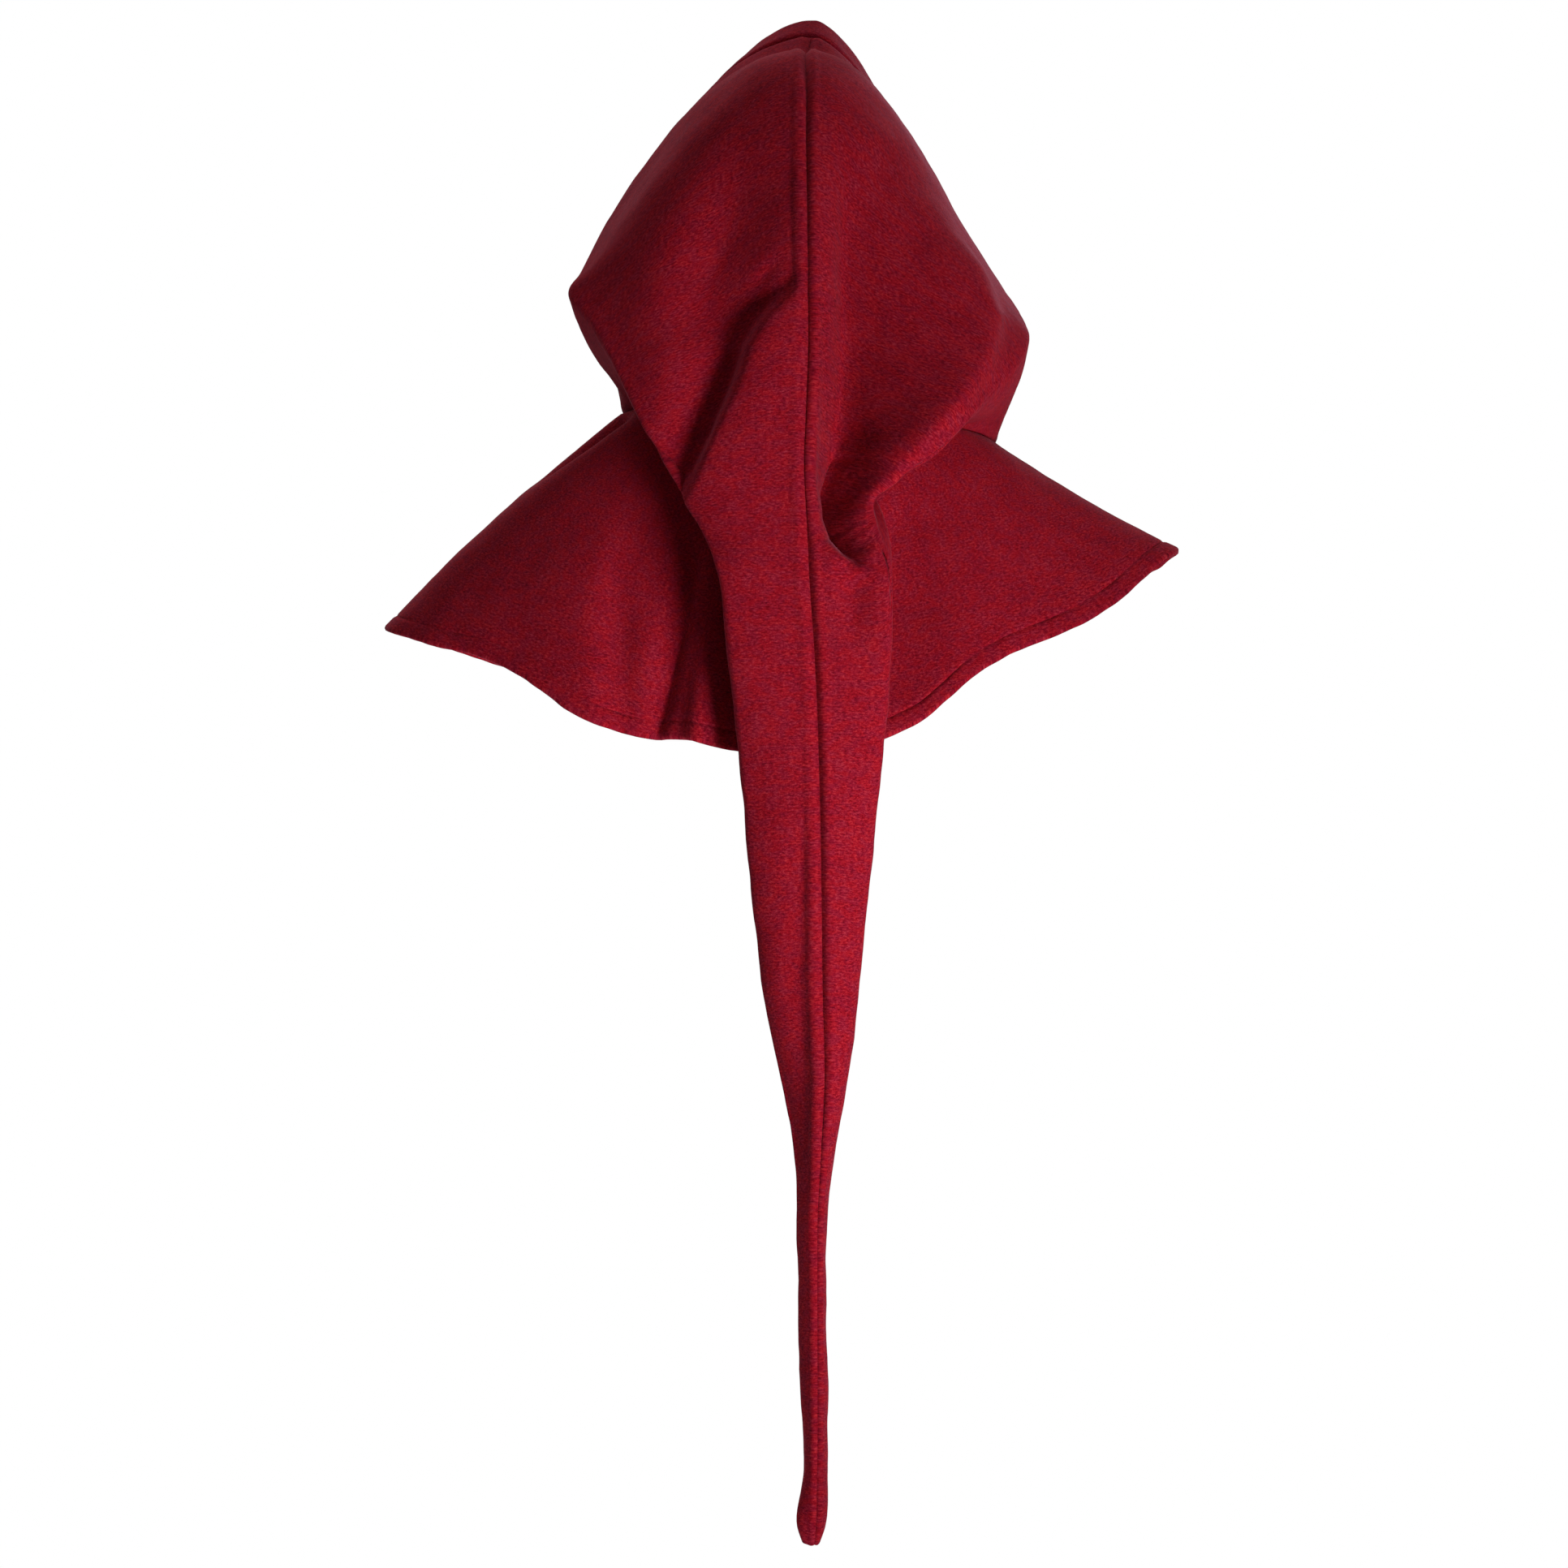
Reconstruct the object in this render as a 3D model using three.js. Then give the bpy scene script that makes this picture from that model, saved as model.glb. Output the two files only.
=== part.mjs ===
// A hooded shoulder cape with a long tail on the hood, in thick wool felt, as worn.
// Millimetres. +X is the wearer's right, +Y the way the wearer faces, +Z up.
// The origin is the middle of the base of the neck, where the wearer holds the garment up.
import * as THREE from "three";

// ---- driving sizes ----
const WALL = 2.5; // thickness of the felt
const SEAM_GAP = 0.34; // clearance between pieces that are sewn together
const HEM_DEPTH = 13; // height of the turned hem
const HEM_WALL = 5; // thickness where the hem is turned up to the inside
const HEM_STEP = 1.5; // height over which the cloth thickens to the turned hem
const FOLD_FREE = 12; // distance from a sewn edge at which the cloth folds freely
const FELT_COLOUR = 0x8a1420;
const BAND_COLOUR = 0x7c101c;
const FELT_ROUGHNESS = 0.95;

// ---- grid sizes ----
const PANEL_COLUMNS = 8; // from the middle seam out to the edge of the garment
const UNDER_COLUMNS = 7; // from that edge in to the neck or to the tail's inner seam
const CAPE_RINGS = 9; // from the neck seam down to the top of the hem

function table(columns, rows) {
  return rows.map((row) => Object.fromEntries(columns.map((column, i) => [column, row[i]])));
}

// The hood is cut by sections that fan out from the face opening to the tip of the tail.
// Each starts on the middle seam at (x, y, z). "steps" is how many strips of the surface lie
// between this section and the next.
const MIDDLE_SEAM = table(
  ["name", "steps", "x", "y", "z"],
  [
    ["rim", 2, 3, 80, 331],
    ["band", 2, 0, 57, 317],
    ["throat", 3, -3, 22, 297],
    ["crown", 3, -4, -14, 296],
    ["crown_back", 3, -5, -52, 289],
    ["upper_back", 3, -4, -92, 262],
    ["back", 3, -4.5, -122, 214],
    ["corner", 3, -4, -140, 166],
    ["kite", 3, -3.5, -150, 118],
    ["low_kite", 3, -3, -156, 72],
    ["gather", 3, -4.5, -163, 26],
    ["tail_root", 3, -6, -172, -20],
    ["nape", 3, -4, -180, -62],
    ["tail_top", 2, -2.5, -186, -98],
    ["tail_wide", 2, 1, -189, -150],
    ["tail_hem", 2, 4, -189, -222],
    ["tail_mid", 2, 6, -189, -318],
    ["tail_low", 2, 7, -188, -398],
    ["taper", 2, 8.5, -186, -452],
    ["taper_end", 2, 6, -183, -508],
    ["cord_top", 2, 3.5, -181, -560],
    ["cord_mid", 2, 3.5, -180, -670],
    ["cord_low", 2, 3, -179, -728],
    ["tip", 1, 2, -173, -773],
    ["tip_end", 0, 1, -167, -782],
  ],
);

// Where each section turns round the outer edge of the garment (edge) and where it ends: on
// the middle of the throat, on the neck seam, or on the tail's inner seam (inner).
// "flat" is 0 for an oval section and 1 for a straight panel with a sharp edge.
const SIDE_COLUMNS = ["name", "edgeX", "edgeY", "edgeZ", "innerX", "innerY", "innerZ", "arm", "flat"];
const LEFT_SECTIONS = table(SIDE_COLUMNS, [
  ["rim", -91, 88, 208, 0, 98, 42, 0.42, 0],
  ["band", -107, 66, 209, 0, 103, 20, 0.42, 0.1],
  ["throat", -123, 38, 198, 0, 107, -3, 0.49, 0.4],
  ["crown", -142, 10, 184, -50, 100, 2, 0.44, 0.6],
  ["crown_back", -158, -16, 155, -96, 78, 10, 0.42, 0.8],
  ["upper_back", -170, -52, 127, -128, 44, 20, 0.44, 0.9],
  ["back", -173.5, -74, 118, -139, 5, 28, 0.4, 1],
  ["corner", -160, -96, 90, -136, -30, 31, 0.36, 1],
  ["kite", -143, -112, 61, -120, -60, 30, 0.36, 1],
  ["low_kite", -129, -124, 33, -92, -79, 26, 0.38, 0.9],
  ["gather", -115, -135, 2, -58, -90, 21, 0.4, 0.8],
  ["tail_root", -98, -147, -30, -26, -95, 16, 0.5, 0.4],
  ["nape", -79, -150, -60, 0, -99, 12, 0.65, 0.1],
  ["tail_top", -67, -160, -96, 0, -118, -6, 0.78, 0],
  ["tail_wide", -60, -166, -150, 0, -132, -62, 0.8, 0],
  ["tail_hem", -52, -168, -222, 0, -147, -150, 0.75, 0],
  ["tail_mid", -43, -166, -318, 2, -152, -290, 0.6, 0],
  ["tail_low", -34, -161, -398, 4, -154, -398, 0.45, 0.3],
  ["taper", -23, -158, -452, 6, -155, -452, 0.4, 0.5],
  ["taper_end", -13, -160, -508, 5, -155.5, -508, 0.38, 0.5],
  ["cord_top", -11, -163, -560, 2, -156, -560, 0.38, 0.5],
  ["cord_mid", -8.5, -164, -670, 2, -156, -670, 0.38, 0.5],
  ["cord_low", -5.5, -165, -728, 2, -156, -728, 0.55, 0],
  ["tip", -10, -165, -771, 2, -158, -773, 0.55, 0],
  ["tip_end", -7, -165, -780, 1, -163.5, -782, 0.55, 0],
]);
const RIGHT_SECTIONS = table(SIDE_COLUMNS, [
  ["rim", 84, 88, 180, 0, 98, 42, 0.22, 0.3],
  ["band", 97, 66, 172, 0, 103, 20, 0.24, 0.5],
  ["throat", 118, 40, 156, 0, 107, -3, 0.4, 0.7],
  ["crown", 134, 12, 134, 50, 100, -2, 0.43, 0.9],
  ["crown_back", 146, -16, 112, 96, 76, -1, 0.42, 1],
  ["upper_back", 154, -42, 96, 124, 42, 1, 0.37, 1],
  ["back", 161, -66, 80, 134, 5, 4, 0.34, 1],
  ["corner", 149, -86, 62, 133, -30, 8, 0.33, 1],
  ["kite", 132, -106, 42, 118, -60, 13, 0.33, 1],
  ["low_kite", 114, -128, 21, 91, -79, 17, 0.34, 1],
  ["gather", 88, -148, -8, 58, -90, 18, 0.4, 0.8],
  ["tail_root", 51, -160, -38, 26, -95, 15, 0.45, 0.5],
  ["nape", 49, -164, -64, 0, -99, 12, 0.6, 0.3],
  ["tail_top", 55, -165, -94, 0, -118, -6, 0.75, 0],
  ["tail_wide", 55, -168, -146, 0, -132, -62, 0.78, 0],
  ["tail_hem", 49, -169, -222, 0, -147, -150, 0.7, 0],
  ["tail_mid", 39, -169, -318, 2, -152, -290, 0.55, 0],
  ["tail_low", 31, -168, -398, 4, -154, -398, 0.55, 0],
  ["taper", 24, -167, -452, 6, -155, -452, 0.55, 0],
  ["taper_end", 14, -166, -508, 5, -155.5, -508, 0.55, 0],
  ["cord_top", 9, -166, -560, 2, -156, -560, 0.55, 0],
  ["cord_mid", 9.5, -166, -670, 2, -156, -670, 0.55, 0],
  ["cord_low", 9.3, -165, -728, 2, -156, -728, 0.55, 0],
  ["tip", 7.5, -165, -771, 2, -158, -773, 0.55, 0],
  ["tip_end", 4.5, -165, -780, 1, -163.5, -782, 0.55, 0],
]);

// The way the cloth leaves the inner end of a section: outwards from the middle as a share of
// the way to the edge, and backwards and upwards as shares of the whole distance.
const LEAVING = table(
  ["name", "across", "back", "up"],
  [
    ["rim", 0.55, 0, 0],
    ["band", 0.55, 0, 0],
    ["throat", 0.45, 0, 0.1],
    ["crown", 0.05, 0, 0.25],
    ["upper_back", 0, 0, 0.2],
    ["corner", 0, 0, 0.2],
    ["kite", 0, 0.1, 0.22],
    ["low_kite", 0, 0.25, 0.15],
    ["gather", 0.05, 0.35, 0.06],
    ["tail_root", 0.15, 0.4, 0],
    ["nape", 0.35, 0.35, 0],
    ["tail_top", 0.5, 0.1, 0],
    ["tail_wide", 0.55, 0, 0],
    ["tip_end", 0.55, 0, 0],
  ],
);

// The shoulder cape falls from the neck seam in lines, one for each of these sections, to
// the hem. "bulge" is how far a line stands out from the straight one in its middle.
const CAPE_COLUMNS = ["name", "hemX", "hemY", "hemZ", "bulge"];
const LEFT_CAPE = table(CAPE_COLUMNS, [
  ["throat", 0, 152, -205, 12],
  ["crown", -78, 146, -200, 12],
  ["crown_back", -155, 122, -180, 12],
  ["upper_back", -228, 86, -154, 13],
  ["back", -288, 44, -135, 9],
  ["corner", -313, -4, -128, 6],
  ["kite", -291, -50, -136, 6],
  ["low_kite", -224, -86, -156, 6],
  ["gather", -155, -112, -194, 8],
  ["tail_root", -84, -127, -212, 8],
  ["nape", 0, -134, -228, 8],
]);
const RIGHT_CAPE = table(CAPE_COLUMNS, [
  ["throat", 0, 152, -205, 12],
  ["crown", 72, 144, -188, 12],
  ["crown_back", 138, 120, -147, 10],
  ["upper_back", 200, 84, -114, 6],
  ["back", 246, 42, -88, -1],
  ["corner", 268, -6, -72, -3],
  ["kite", 256, -52, -82, -4],
  ["low_kite", 203, -86, -126, 2],
  ["gather", 127, -112, -162, 6],
  ["tail_root", 71, -127, -205, 8],
  ["nape", 0, -134, -228, 8],
]);

// Folds are soft troughs (height below 0) or ridges (above 0) along a line. "seen" is the side
// that the line is given from: back and front give (x, z), top gives (x, y), and left and
// right give (y, z). Only cloth that faces that way is moved. The third number of each point is
// the fold's height there. Walking along the line, "left" and "right" say how far the fold
// reaches on either hand.
const FOLD_COLUMNS = ["on", "seen", "left", "right", "line"];
const FOLDS = table(FOLD_COLUMNS, [
  ["hood_left_panel", "back", 22, 12, [[-100, -31, -6], [-91, -18, -10], [-78, 9, -13],
    [-66, 38, -13], [-56, 72, -12], [-45, 89, -9], [-29, 107, -5]]],
  ["hood_left_panel", "back", 12, 32, [[-82, -38, 4], [-69, -8, 8], [-57, 18, 9],
    [-47, 42, 9], [-40, 66, 8], [-28, 88, 6]]],
  ["hood_left_panel", "back", 16, 26, [[-42, 132, -2], [-50, 160, -5], [-54, 190, -4]]],
  ["hood_left_panel", "back", 30, 26, [[-104, 20, 5], [-94, 60, 8], [-90, 110, 8], [-88, 176, 4]]],
  ["hood_right_panel", "back", 15, 48, [[21, -34, -8], [23, -8, -16], [26, 25, -14],
    [29, 60, -10], [33, 110, -5], [36, 150, -2]]],
  ["hood_right_panel", "back", 12, 27, [[13, -48, -8], [16, -30, -12], [20, -8, -12],
    [24, 14, -7], [26, 34, -2]]],
  ["hood_right_panel", "back", 22, 9, [[42, -70, 2], [40, -54, 5], [44, -36, 8], [64, -12, 8],
    [88, 12, 7], [111, 37, 6], [134, 64, 4], [150, 80, 2]]],
  ["hood_right_panel", "back", 9, 19, [[28, -81, -5], [19, -76, -10], [11, -66, -14],
    [10, -50, -16], [10, -32, -10]]],
  ["cape_left", "top", 11, 11, [[-128, -42, -6], [-150, -36, -11], [-172, -30, -11], [-192, -22, -5]]],
  ["cape_left", "back", 14, 9, [[-103, -216, -9], [-94, -164, -9], [-85, -135, -8],
    [-81, -111, -6], [-78, -89, -3]]],
  ["cape_left", "back", 9, 14, [[-79, -225, 9], [-76, -176, 8], [-67, -147, 6], [-64, -110, 2]]],
  ["cape_left", "back", 14, 12, [[-132, -215, -4], [-137, -159, -4], [-140, -124, -3]]],
  ["cape_left", "back", 22, 14, [[-158, -205, 4], [-162, -160, 4], [-168, -110, 2]]],
  ["cape_right", "back", 10, 38, [[58, -215, -8], [62, -159, -12], [64, -112, -11], [72, -66, -5]]],
  ["cape_left", "front", 19, 19, [[-46, -34, -5], [-60, -90, -11], [-70, -150, -12], [-76, -206, -7]]],
  ["cape_left", "front", 24, 24, [[-100, -24, 4], [-122, -80, 9], [-140, -130, 10], [-150, -182, 6]]],
  ["cape_left", "top", 17, 17, [[-148, 46, -4], [-190, 58, -9], [-236, 70, -5]]],
  ["cape_right", "front", 18, 18, [[40, -30, -5], [54, -80, -10], [64, -140, -11], [70, -190, -6]]],
  ["cape_right", "front", 22, 22, [[92, -20, 4], [108, -60, 8], [120, -100, 9], [128, -146, 5]]],
  ["cape_right", "top", 16, 16, [[138, 42, -4], [172, 52, -8], [210, 60, -4]]],
  ["hood_left_side", "left", 14, 14, [[72, 140, -4], [44, 104, -9], [14, 74, -9], [-16, 54, -4]]],
  ["hood_left_side", "front", 13, 13, [[-18, 12, -4], [-50, 32, -8], [-88, 64, -4]]],
  ["hood_right_side", "right", 13, 13, [[74, 118, -4], [48, 86, -8], [22, 56, -8], [0, 38, -4]]],
  ["hood_right_side", "front", 12, 12, [[22, 8, -4], [48, 34, -7], [74, 70, -3]]],
]);

// ---- vectors ----
const length3 = (v) => Math.hypot(v[0], v[1], v[2]);
const add = (a, b) => [a[0] + b[0], a[1] + b[1], a[2] + b[2]];
const sub = (a, b) => [a[0] - b[0], a[1] - b[1], a[2] - b[2]];
const scale = (a, k) => [a[0] * k, a[1] * k, a[2] * k];
const dot = (a, b) => a[0] * b[0] + a[1] * b[1] + a[2] * b[2];
const mix = (a, b, k) => add(scale(a, 1 - k), scale(b, k));
const unit = (a) => scale(a, 1 / length3(a));
const flatInX = (a) => unit([0, a[1], a[2]]);
const cross = (a, b) => [
  a[1] * b[2] - a[2] * b[1],
  a[2] * b[0] - a[0] * b[2],
  a[0] * b[1] - a[1] * b[0],
];

// ---- curves through the sections ----
// A smooth curve through values at uneven knots. It is level where either side of a knot is.
function smoothCurve(knots, values) {
  const last = knots.length - 1;
  const slope = (i) => (values[i + 1] - values[i]) / (knots[i + 1] - knots[i]);
  const tangents = values.map((value, i) => {
    if (i === 0) return slope(0);
    if (i === last) return slope(last - 1);
    if (slope(i - 1) === 0 || slope(i) === 0) return 0;
    const before = knots[i] - knots[i - 1];
    const after = knots[i + 1] - knots[i];
    return (slope(i - 1) * after + slope(i) * before) / (before + after);
  });
  return (t) => {
    let i = 0;
    while (i < last - 1 && t > knots[i + 1]) i += 1;
    const span = knots[i + 1] - knots[i];
    const s = (t - knots[i]) / span;
    const s2 = s * s;
    const s3 = s2 * s;
    const start = (2 * s3 - 3 * s2 + 1) * values[i] + (s3 - 2 * s2 + s) * span * tangents[i];
    return start + (3 * s2 - 2 * s3) * values[i + 1] + (s3 - s2) * span * tangents[i + 1];
  };
}

// Distance travelled down the middle seam to each section.
const travel = {};
MIDDLE_SEAM.forEach((row, i) => {
  const from = MIDDLE_SEAM[Math.max(i - 1, 0)];
  const step = Math.hypot(row.x - from.x, row.y - from.y, row.z - from.z);
  travel[row.name] = (travel[from.name] ?? 0) + step;
});

function curvesOf(rows) {
  const knots = rows.map((row) => travel[row.name]);
  const columns = Object.keys(rows[0]).filter((column) => column !== "name");
  const curve = (column) => smoothCurve(knots, rows.map((row) => row[column]));
  return Object.fromEntries(columns.map((column) => [column, curve(column)]));
}

function stations(from, to) {
  const between = ({ name }) => travel[name] >= travel[from] && travel[name] <= travel[to];
  const rows = MIDDLE_SEAM.filter(between);
  const list = [travel[from]];
  for (let i = 0; i < rows.length - 1; i += 1) {
    const start = travel[rows[i].name];
    const span = travel[rows[i + 1].name] - start;
    for (let k = 1; k <= rows[i].steps; k += 1) list.push(start + (span * k) / rows[i].steps);
  }
  return list;
}

function bezier(p0, p1, p2, p3, s) {
  const r = 1 - s;
  const near = add(scale(p0, r * r * r), scale(p1, 3 * r * r * s));
  return add(near, add(scale(p2, 3 * r * s * s), scale(p3, s * s * s)));
}

// ---- folds ----
const VIEWS = {
  back: { flat: (p) => [p[0], p[2]], faces: (n) => -n[1] },
  front: { flat: (p) => [p[0], p[2]], faces: (n) => n[1] },
  top: { flat: (p) => [p[0], p[1]], faces: (n) => n[2] },
  left: { flat: (p) => [p[1], p[2]], faces: (n) => -n[0] },
  right: { flat: (p) => [p[1], p[2]], faces: (n) => n[0] },
};

// The height of one fold at a flat point: as its line has at the nearest place, and less away
// from the line, by how far the fold reaches on that hand.
function foldShape({ line, left, right }, [x, y]) {
  let best = { distance: Infinity };
  line.slice(1).forEach(([endX, endY, endHeight], i) => {
    const [startX, startY, startHeight] = line[i];
    const [dx, dy] = [endX - startX, endY - startY];
    const [offX, offY] = [x - startX, y - startY];
    const k = THREE.MathUtils.clamp((offX * dx + offY * dy) / (dx * dx + dy * dy), 0, 1);
    const distance = Math.hypot(offX - dx * k, offY - dy * k);
    if (distance >= best.distance) return;
    const reach = dx * offY - dy * offX > 0 ? left : right;
    best = { distance, reach, height: startHeight + (endHeight - startHeight) * k };
  });
  return best.height * Math.exp(-((best.distance / best.reach) ** 2));
}

function foldHeight(zone, point, normal) {
  let height = 0;
  for (const fold of FOLDS.filter((row) => row.on === zone)) {
    const view = VIEWS[fold.seen];
    const facing = THREE.MathUtils.smoothstep(view.faces(normal), 0, 0.5);
    height += facing * foldShape(fold, view.flat(point));
  }
  return height;
}

// ---- sheets of cloth ----
// Normals of a grid of points, on the side that "side" (-1 or 1) picks.
function gridNormals(points, side) {
  const lastRow = points.length - 1;
  const lastColumn = points[0].length - 1;
  return points.map((row, i) =>
    row.map((point, j) => {
      const down = sub(points[Math.min(i + 1, lastRow)][j], points[Math.max(i - 1, 0)][j]);
      const across = sub(row[Math.min(j + 1, lastColumn)], row[Math.max(j - 1, 0)]);
      return scale(unit(cross(down, across)), side);
    }),
  );
}

// How free a point is to fold: not at all on the edges that are sewn, fully a little way off.
function freedom(points, i, j, sewnTop) {
  const row = points[i];
  const sewn = [row[0], row[row.length - 1], ...(sewnTop ? [points[0][j]] : [])];
  const nearest = Math.min(...sewn.map((edge) => length3(sub(row[j], edge))));
  return THREE.MathUtils.smoothstep(nearest, 0, FOLD_FREE);
}

// Moves a grid of points by the folds of the zones that its columns lie in.
function folded(side, points, zoneOf, sewnTop) {
  const normals = gridNormals(points, side);
  const moved = points.map((row, i) =>
    row.map((point, j) => {
      const height = foldHeight(zoneOf(j), point, normals[i][j]) * freedom(points, i, j, sewnTop);
      return add(point, scale(normals[i][j], height));
    }),
  );
  return { side, points: moved, normals: gridNormals(moved, side) };
}

function signedVolume(corners, index) {
  let volume = 0;
  for (let k = 0; k < index.length; k += 3) {
    const [a, b, c] = [corners[index[k]], corners[index[k + 1]], corners[index[k + 2]]];
    volume += dot(a, cross(b, c)) / 6;
  }
  return volume;
}

// A closed wall round a grid of points: half the wall outwards, and "inward(i, j)" inwards.
function wallGeometry(points, normals, inward) {
  const rows = points.length;
  const columns = points[0].length;
  const layer = (offset) =>
    points.flatMap((row, i) => row.map((point, j) => add(point, scale(normals[i][j], offset(i, j)))));
  const corners = [...layer(() => WALL / 2), ...layer((i, j) => -inward(i, j))];
  const outer = (i, j) => i * columns + j;
  const inner = (i, j) => rows * columns + outer(i, j);
  const index = [];
  const quad = (a, b, c, d) => index.push(a, b, c, a, c, d);
  for (let i = 0; i < rows - 1; i += 1) {
    for (let j = 0; j < columns - 1; j += 1) {
      quad(outer(i, j), outer(i + 1, j), outer(i + 1, j + 1), outer(i, j + 1));
      quad(inner(i, j), inner(i, j + 1), inner(i + 1, j + 1), inner(i + 1, j));
    }
    const j = columns - 1;
    quad(outer(i, 0), inner(i, 0), inner(i + 1, 0), outer(i + 1, 0));
    quad(outer(i, j), outer(i + 1, j), inner(i + 1, j), inner(i, j));
  }
  for (let j = 0; j < columns - 1; j += 1) {
    const i = rows - 1;
    quad(outer(0, j), outer(0, j + 1), inner(0, j + 1), inner(0, j));
    quad(outer(i, j), inner(i, j), inner(i, j + 1), outer(i, j + 1));
  }
  if (signedVolume(corners, index) < 0) index.reverse();
  const geometry = new THREE.BufferGeometry();
  geometry.setAttribute("position", new THREE.Float32BufferAttribute(corners.flat(), 3));
  geometry.setIndex(index);
  geometry.computeVertexNormals();
  return geometry;
}

// ---- the hood ----
const seamCurve = curvesOf(MIDDLE_SEAM);
const leaving = curvesOf(LEAVING);
const COLUMNS = PANEL_COLUMNS + UNDER_COLUMNS;
const ROUND = 0.55; // handle length that makes a quarter of an oval
const TUCK = 0.4; // how far the cloth behind a sharp edge heads inwards, as a share of its way

// The point on a section at a column: first the panel from the middle seam to the edge, then
// the cloth behind it from the edge to the neck seam or the tail's inner seam.
function hoodPoint(side, t, column) {
  const seam = [seamCurve.x(t), seamCurve.y(t), seamCurve.z(t)];
  const edge = [side.edgeX(t), side.edgeY(t), side.edgeZ(t)];
  const inner = [side.innerX(t), side.innerY(t), side.innerZ(t)];
  const turn = flatInX(sub(inner, seam));
  if (column <= PANEL_COLUMNS) {
    const chord = sub(edge, seam);
    const straight = scale(chord, 1 / 3);
    const out = [chord[0] * side.arm(t), 0, 0];
    const forward = scale(turn, Math.abs(dot(chord, turn)) * ROUND);
    const leave = add(seam, out);
    const arrive = sub(edge, mix(forward, straight, side.flat(t)));
    return bezier(seam, leave, arrive, edge, column / PANEL_COLUMNS);
  }
  const rest = sub(inner, edge);
  const behind = [rest[0] * TUCK * side.flat(t), 0, 0];
  const leave = add(add(edge, behind), scale(turn, Math.abs(dot(rest, turn)) * ROUND));
  const reach = length3(rest);
  const arrive = add(inner, [
    -rest[0] * leaving.across(t),
    -reach * leaving.back(t),
    reach * leaving.up(t),
  ]);
  return bezier(edge, leave, arrive, inner, (column - PANEL_COLUMNS) / UNDER_COLUMNS);
}

// How far each point of a line that two pieces share moves off it, along the cloth and square
// to the line, to part them.
function partings(line, normals, side) {
  const last = line.length - 1;
  return line.map((point, j) => {
    const along = sub(line[Math.min(j + 1, last)], line[Math.max(j - 1, 0)]);
    const square = scale(unit(cross(normals[j], along)), side);
    return scale(j === 0 || j === last ? flatInX(square) : square, SEAM_GAP / 2);
  });
}

function hoodHalf(name, side, sections) {
  const curves = curvesOf(sections);
  const rows = [...stations("rim", "band"), ...stations("band", "tip_end")];
  const columns = [...Array(COLUMNS + 1).keys()];
  const points = rows.map((t) => columns.map((j) => hoodPoint(curves, t, j)));
  const zoneOf = (j) => (j <= PANEL_COLUMNS ? `${name}_panel` : `${name}_side`);
  const sheet = { name, ...folded(side, points, zoneOf, false) };
  rows.forEach((t, i) => {
    sheet.normals[i][0] = flatInX(sheet.normals[i][0]);
    if (t <= travel.throat || t >= travel.nape) {
      sheet.normals[i][COLUMNS] = flatInX(sheet.normals[i][COLUMNS]);
    }
  });
  const bandEnd = rows.indexOf(travel.band);
  sheet.normals[bandEnd] = sheet.normals[bandEnd + 1];
  const parted = partings(sheet.points[bandEnd], sheet.normals[bandEnd], side);
  sheet.points[bandEnd] = sheet.points[bandEnd].map((point, j) => add(point, parted[j]));
  sheet.points[bandEnd + 1] = sheet.points[bandEnd + 1].map((point, j) => sub(point, parted[j]));
  return { ...sheet, rows, bandEnd };
}

// ---- the shoulder cape ----
const onNeck = (t) => t >= travel.throat && t <= travel.nape;

// How far down each line the rings lie: even to the hem's upper edge, then the hem's step.
function ringDistances(length) {
  const top = length - HEM_DEPTH;
  const even = [...Array(CAPE_RINGS).keys()].map((k) => (top * k) / (CAPE_RINGS - 1));
  return [...even, top + HEM_STEP, length];
}

function capeLine(neck, hem, bulge) {
  const chord = sub(hem, neck);
  const length = length3(chord);
  const down = unit(chord);
  const out = unit(sub([0, 0, 1], scale(down, down[2])));
  return ringDistances(length).map((distance) => {
    const s = distance / length;
    return add(add(neck, scale(down, distance)), scale(out, bulge * 4 * s * (1 - s)));
  });
}

function capeHalf(hood, sections) {
  const curves = curvesOf(sections);
  const columns = hood.rows.map((t, i) => ({ t, i })).filter(({ t }) => onNeck(t));
  const lines = columns.map(({ t, i }) =>
    capeLine(hood.points[i][COLUMNS], [curves.hemX(t), curves.hemY(t), curves.hemZ(t)], curves.bulge(t)),
  );
  const rings = lines[0].map((_, k) => lines.map((line) => line[k]));
  const name = hood.name.replace("hood", "cape");
  const sheet = { name, ...folded(-hood.side, rings, () => name, true) };
  sheet.normals.forEach((ring) => {
    ring[0] = flatInX(ring[0]);
    ring[ring.length - 1] = flatInX(ring[ring.length - 1]);
  });
  joinAtNeck(hood, sheet, columns);
  return sheet;
}

// The hood's lower edge and the cape's upper edge share their normals and stand parted.
function joinAtNeck(hood, cape, columns) {
  const last = columns.length - 1;
  const shared = columns.map(({ i }, j) => {
    const normal = unit(add(hood.normals[i][COLUMNS], cape.normals[0][j]));
    return j === 0 || j === last ? flatInX(normal) : normal;
  });
  const parted = partings(cape.points[0], shared, hood.side);
  columns.forEach(({ i }, j) => {
    const point = cape.points[0][j];
    hood.normals[i][COLUMNS] = shared[j];
    cape.normals[0][j] = shared[j];
    hood.points[i][COLUMNS] = sub(point, parted[j]);
    cape.points[0][j] = add(point, parted[j]);
  });
}

// ---- the pieces ----
const group = new THREE.Group();

function addPiece(name, color, points, normals, inward = () => WALL / 2) {
  const material = new THREE.MeshStandardMaterial({ color, roughness: FELT_ROUGHNESS, metalness: 0 });
  const mesh = new THREE.Mesh(wallGeometry(points, normals, inward), material);
  mesh.name = name;
  group.add(mesh);
}

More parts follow.
